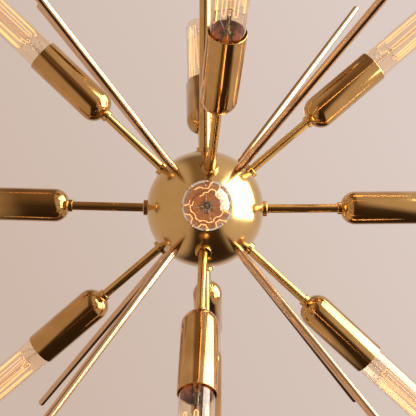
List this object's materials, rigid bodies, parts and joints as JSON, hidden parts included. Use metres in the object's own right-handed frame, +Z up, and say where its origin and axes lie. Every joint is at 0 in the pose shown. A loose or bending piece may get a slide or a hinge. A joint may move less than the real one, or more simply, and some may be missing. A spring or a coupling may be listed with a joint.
{
  "type": "multi arm chandelier",
  "caption": "Ceiling chandelier: a round brass hub on a down rod with swivel and canopy, its straight arms ending in tubular bulbs in brass cups, with plain rods between them.",
  "frame": {"origin": "middle of the crossbar's top face, where it meets the ceiling box", "axes": "+Z up into the ceiling, the stem hangs along -Z; the crossbar lies along X, and -Y is the front"},
  "size_m": [0.7999, 0.7997, 0.85],
  "materials": {
    "satin_brass": "aged brass, satin polished",
    "polished_brass": "aged brass, polished",
    "raw_brass": "plain turned or pressed brass",
    "zinc_steel": "zinc plated",
    "black_phenolic": "moulded phenolic",
    "lead_insulation": "plastic insulation",
    "bulb_base": "pressed screw base",
    "bulb_glass": "clear glass"
  },
  "bodies": {
    "ceiling_mount": {"crossbar": "zinc_steel", "hanger_nipple": "zinc_steel", "hanger_nut": "zinc_steel", "swivel_neck": "polished_brass", "neck_cap": "zinc_steel"},
    "swivel": {"swivel_fork": "polished_brass", "swivel_pin": "zinc_steel", "journal_nut": "zinc_steel"},
    "canopy": {"canopy": "polished_brass"},
    "canopy_washer": {"canopy_washer": "polished_brass"},
    "canopy_ring": {"canopy_ring": "polished_brass"},
    "bulb_01": {"bulb_base_01": "bulb_base", "bulb_glass_01": "bulb_glass"},
    "bulb_02": {"bulb_base_02": "bulb_base", "bulb_glass_02": "bulb_glass"},
    "bulb_03": {"bulb_base_03": "bulb_base", "bulb_glass_03": "bulb_glass"},
    "bulb_04": {"bulb_base_04": "bulb_base", "bulb_glass_04": "bulb_glass"},
    "bulb_05": {"bulb_base_05": "bulb_base", "bulb_glass_05": "bulb_glass"},
    "bulb_06": {"bulb_base_06": "bulb_base", "bulb_glass_06": "bulb_glass"},
    "bulb_07": {"bulb_base_07": "bulb_base", "bulb_glass_07": "bulb_glass"},
    "bulb_08": {"bulb_base_08": "bulb_base", "bulb_glass_08": "bulb_glass"},
    "bulb_09": {"bulb_base_09": "bulb_base", "bulb_glass_09": "bulb_glass"},
    "bulb_10": {"bulb_base_10": "bulb_base", "bulb_glass_10": "bulb_glass"},
    "bulb_11": {"bulb_base_11": "bulb_base", "bulb_glass_11": "bulb_glass"},
    "bulb_12": {"bulb_base_12": "bulb_base", "bulb_glass_12": "bulb_glass"},
    "bulb_13": {"bulb_base_13": "bulb_base", "bulb_glass_13": "bulb_glass"},
    "chandelier": {"arm_collars": "polished_brass", "arm_leads": "lead_insulation", "arm_tubes_bottom": "polished_brass", "arm_tubes_lower": "polished_brass", "arm_tubes_middle": "polished_brass", "arm_tubes_upper": "polished_brass", "contact_tongues": "raw_brass", "cup_rings": "polished_brass", "cups_bottom": "polished_brass", "cups_lower": "polished_brass", "cups_middle": "polished_brass", "cups_upper": "polished_brass", "hub_core": "raw_brass", "hub_lower_shell": "satin_brass", "hub_upper_shell": "satin_brass", "lampholders": "black_phenolic", "rods_lower": "polished_brass", "rods_upper": "polished_brass", "screw_shells": "raw_brass", "stem": "polished_brass", "stem_flange": "polished_brass", "swivel_eye": "polished_brass", "tube_nuts": "zinc_steel"}
  },
  "joints": [
    {"name": "swivel_turn", "type": "hinge", "parent": "ceiling_mount", "child": "swivel", "pos_m": [0, 0, -0.034], "axis": [0, 0, 1], "range_deg": [-165, 165]},
    {"name": "stem_tilt", "type": "hinge", "parent": "swivel", "child": "chandelier", "pos_m": [0, 0, -0.053], "axis": [1, 0, 0], "range_deg": [-25, 25]},
    {"name": "canopy_drop", "type": "slide", "parent": "ceiling_mount", "child": "canopy", "axis": [0, 0, -1], "range_m": [0, 0.013]},
    {"name": "washer_drop", "type": "slide", "parent": "canopy", "child": "canopy_washer", "axis": [0, 0, -1], "range_m": [0, 0.007]},
    {"name": "ring_turn", "type": "hinge", "parent": "canopy_washer", "child": "canopy_ring", "pos_m": [0, 0, -0.03], "axis": [0, 0, -1], "range_deg": [0, 1440]},
    {"name": "bulb_01_out", "type": "slide", "parent": "chandelier", "child": "bulb_01", "axis": [0.0782, -0.7437, 0.6639], "range_m": [0, 0.07]},
    {"name": "bulb_02_out", "type": "slide", "parent": "chandelier", "child": "bulb_02", "axis": [0.7615, 0, 0.6481], "range_m": [0, 0.07]},
    {"name": "bulb_03_out", "type": "slide", "parent": "chandelier", "child": "bulb_03", "axis": [-0.0265, 0.7599, 0.6494], "range_m": [0, 0.07]},
    {"name": "bulb_04_out", "type": "slide", "parent": "chandelier", "child": "bulb_04", "axis": [-0.7248, -0.0507, 0.6871], "range_m": [0, 0.07]},
    {"name": "bulb_05_out", "type": "slide", "parent": "chandelier", "child": "bulb_05", "axis": [0, -0.9996, 0.0297], "range_m": [0, 0.07]},
    {"name": "bulb_06_out", "type": "slide", "parent": "chandelier", "child": "bulb_06", "axis": [1, 0, 0.007], "range_m": [0, 0.07]},
    {"name": "bulb_07_out", "type": "slide", "parent": "chandelier", "child": "bulb_07", "axis": [0, 0.9997, 0.0262], "range_m": [0, 0.07]},
    {"name": "bulb_08_out", "type": "slide", "parent": "chandelier", "child": "bulb_08", "axis": [-0.9997, 0, 0.0262], "range_m": [0, 0.07]},
    {"name": "bulb_09_out", "type": "slide", "parent": "chandelier", "child": "bulb_09", "axis": [-0.0327, -0.7482, -0.6626], "range_m": [0, 0.07]},
    {"name": "bulb_10_out", "type": "slide", "parent": "chandelier", "child": "bulb_10", "axis": [0.7367, -0.0515, -0.6743], "range_m": [0, 0.07]},
    {"name": "bulb_11_out", "type": "slide", "parent": "chandelier", "child": "bulb_11", "axis": [0.0196, 0.7487, -0.6626], "range_m": [0, 0.07]},
    {"name": "bulb_12_out", "type": "slide", "parent": "chandelier", "child": "bulb_12", "axis": [-0.7597, 0.0531, -0.6481], "range_m": [0, 0.07]},
    {"name": "bulb_13_out", "type": "slide", "parent": "chandelier", "child": "bulb_13", "axis": [0, 0, -1], "range_m": [0, 0.07]}
  ],
  "couplings": [
    {"joint": "washer_drop", "follows": "ring_turn", "m_per_rad": 0.0002785}
  ]
}
